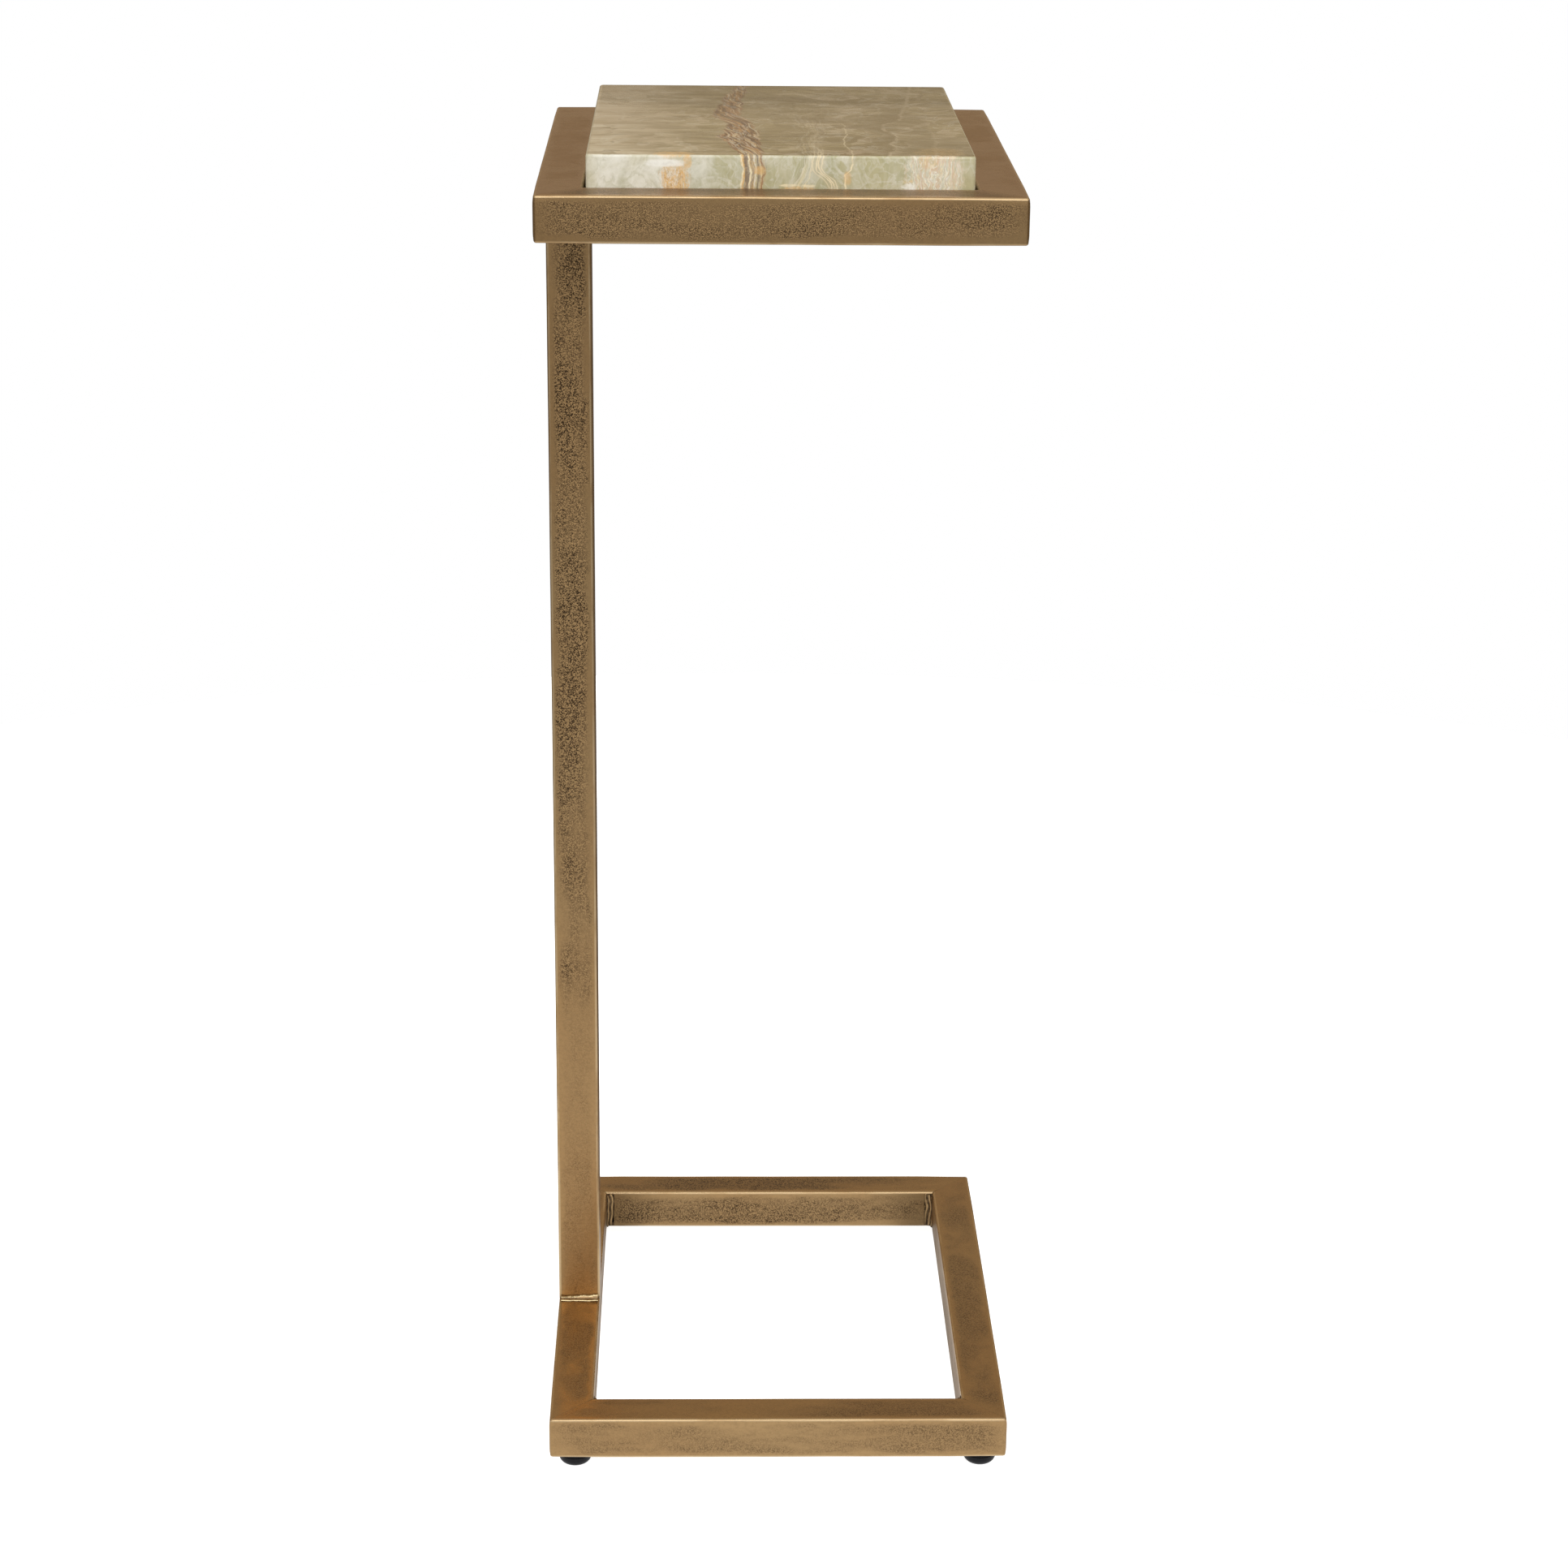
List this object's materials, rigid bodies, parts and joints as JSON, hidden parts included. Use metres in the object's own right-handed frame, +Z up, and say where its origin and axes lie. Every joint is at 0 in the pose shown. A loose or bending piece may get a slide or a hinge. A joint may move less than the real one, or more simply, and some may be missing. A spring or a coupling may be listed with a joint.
{
  "type": "accent table",
  "caption": "Slim C-shaped accent table with an antique brass square-tube frame, a side column and a drop-in onyx slab.",
  "frame": {"origin": "on the floor under the middle of the base frame", "axes": "+Z up, the front faces -Y, the column stands at -X so the open side of the C is +X"},
  "size_m": [0.21, 0.256, 0.5997],
  "materials": {
    "antique_brass": "brass-plated steel tube, antiqued dark and burnished along its edges",
    "ledge_steel": "dark flat bar, inside the top frame",
    "onyx": "polished green-grey onyx with cream and rust veins",
    "bumper_rubber": "clear silicone pads",
    "foot_plastic": "black moulded glide",
    "zinc_steel": "zinc-plated thread parts"
  },
  "bodies": {
    "frame": {"base_rail_front": "antique_brass", "base_rail_right": "antique_brass", "base_rail_back": "antique_brass", "base_rail_left": "antique_brass", "top_rail_front": "antique_brass", "top_rail_right": "antique_brass", "top_rail_back": "antique_brass", "top_rail_left": "antique_brass", "column_tube": "antique_brass", "column_foot_welds": "antique_brass", "column_head_welds": "antique_brass", "base_corner_welds": "antique_brass", "slab_ledge_front": "ledge_steel", "slab_ledge_back": "ledge_steel", "slab_ledge_left": "ledge_steel", "slab_ledge_right": "ledge_steel", "slab_bumper_pads": "bumper_rubber", "foot_insert_front_left": "zinc_steel", "foot_insert_front_right": "zinc_steel", "foot_insert_back_left": "zinc_steel", "foot_insert_back_right": "zinc_steel"},
    "slab": {"onyx_slab": "onyx"},
    "foot_front_left": {"foot_pad_front_left": "foot_plastic"},
    "stud_front_left": {"foot_stud_front_left": "zinc_steel"},
    "foot_front_right": {"foot_pad_front_right": "foot_plastic"},
    "stud_front_right": {"foot_stud_front_right": "zinc_steel"},
    "foot_back_left": {"foot_pad_back_left": "foot_plastic"},
    "stud_back_left": {"foot_stud_back_left": "zinc_steel"},
    "foot_back_right": {"foot_pad_back_right": "foot_plastic"},
    "stud_back_right": {"foot_stud_back_right": "zinc_steel"}
  },
  "joints": [
    {"name": "slab_lift", "type": "slide", "parent": "frame", "child": "slab", "axis": [0, 0, 1], "range_m": [0, 0.05]},
    {"name": "foot_front_left_extend", "type": "slide", "parent": "frame", "child": "foot_front_left", "axis": [0, 0, -1], "range_m": [0, 0.006]},
    {"name": "stud_front_left_turn", "type": "hinge", "parent": "foot_front_left", "child": "stud_front_left", "pos_m": [-0.0935, -0.1165, 0.0075], "axis": [0, 0, -1], "range_deg": [0, 2161]},
    {"name": "foot_front_right_extend", "type": "slide", "parent": "frame", "child": "foot_front_right", "axis": [0, 0, -1], "range_m": [0, 0.006]},
    {"name": "stud_front_right_turn", "type": "hinge", "parent": "foot_front_right", "child": "stud_front_right", "pos_m": [0.0935, -0.1165, 0.0075], "axis": [0, 0, -1], "range_deg": [0, 2161]},
    {"name": "foot_back_left_extend", "type": "slide", "parent": "frame", "child": "foot_back_left", "axis": [0, 0, -1], "range_m": [0, 0.006]},
    {"name": "stud_back_left_turn", "type": "hinge", "parent": "foot_back_left", "child": "stud_back_left", "pos_m": [-0.0935, 0.1165, 0.0075], "axis": [0, 0, -1], "range_deg": [0, 2161]},
    {"name": "foot_back_right_extend", "type": "slide", "parent": "frame", "child": "foot_back_right", "axis": [0, 0, -1], "range_m": [0, 0.006]},
    {"name": "stud_back_right_turn", "type": "hinge", "parent": "foot_back_right", "child": "stud_back_right", "pos_m": [0.0935, 0.1165, 0.0075], "axis": [0, 0, -1], "range_deg": [0, 2161]}
  ],
  "couplings": [
    {"joint": "stud_front_left_turn", "follows": "foot_front_left_extend", "rad_per_m": 6283.2},
    {"joint": "stud_front_right_turn", "follows": "foot_front_right_extend", "rad_per_m": 6283.2},
    {"joint": "stud_back_left_turn", "follows": "foot_back_left_extend", "rad_per_m": 6283.2},
    {"joint": "stud_back_right_turn", "follows": "foot_back_right_extend", "rad_per_m": 6283.2}
  ]
}
